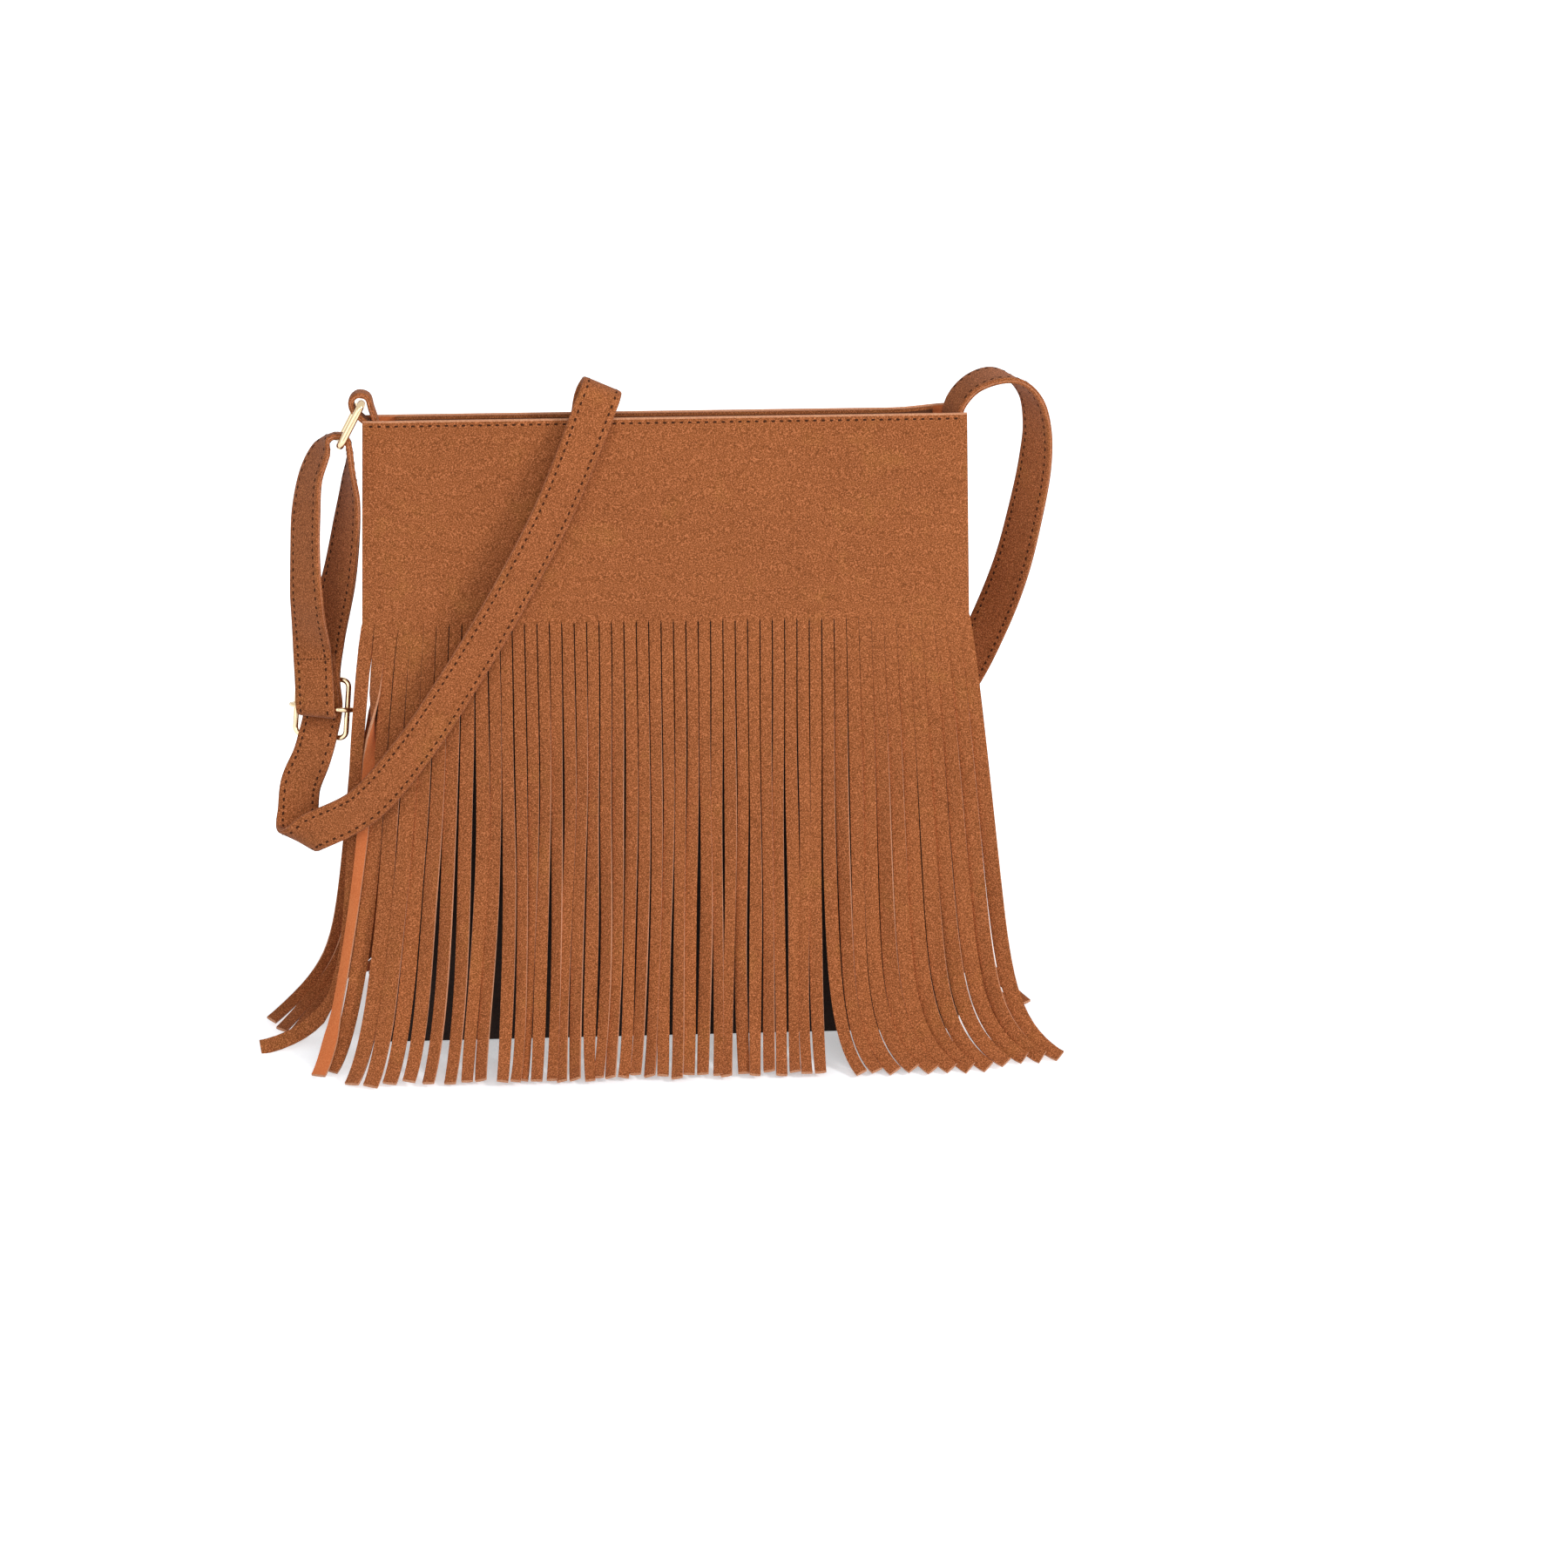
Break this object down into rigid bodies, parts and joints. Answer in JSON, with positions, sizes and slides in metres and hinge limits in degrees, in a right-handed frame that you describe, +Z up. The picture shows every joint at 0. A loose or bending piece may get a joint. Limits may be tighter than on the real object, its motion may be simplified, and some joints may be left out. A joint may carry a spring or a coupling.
{
  "type": "fringed shoulder bag",
  "caption": "Flat fringed suede shoulder bag with a zipped top, long fringes on both faces, and an adjustable strap with a ring and slider buckle.",
  "frame": {"origin": "on the floor under the middle of the bag's flat base", "axes": "+X to the right seen from the front, +Y from the front to the back, +Z up; the front faces -Y"},
  "size_m": [0.3003, 0.1018, 0.2444],
  "materials": {
    "suede": "brushed suede",
    "body_fabric": "plain weave",
    "lining_cloth": "plain weave",
    "board": "matte",
    "zip_tape": "woven tape",
    "gold": "polished pale gold plate"
  },
  "bodies": {
    "bag": {"front_panel": "suede", "back_panel": "suede", "front_facing": "suede", "back_facing": "suede", "gusset": "suede", "ring_tab": "suede", "strap": "suede", "body_front": "body_fabric", "body_back": "body_fabric", "lining": "lining_cloth", "base_board": "board", "zip_tape_front": "zip_tape", "zip_tape_back": "zip_tape", "zip_stop_left": "gold", "zip_stop_right": "gold", "strap_ring": "gold", "slider_frame": "gold", "slider_bar": "gold"},
    "zip_slider_body": {"zip_slider": "gold"},
    "zip_pull_body": {"zip_pull": "gold"}
  },
  "joints": [
    {"name": "zip_slide", "type": "slide", "parent": "bag", "child": "zip_slider_body", "axis": [1, 0, 0], "range_m": [0, 0.156]},
    {"name": "pull_hinge", "type": "hinge", "parent": "zip_slider_body", "child": "zip_pull_body", "pos_m": [-0.082, 0, 0.2126], "axis": [0, 1, 0], "range_deg": [-120, 0]}
  ]
}
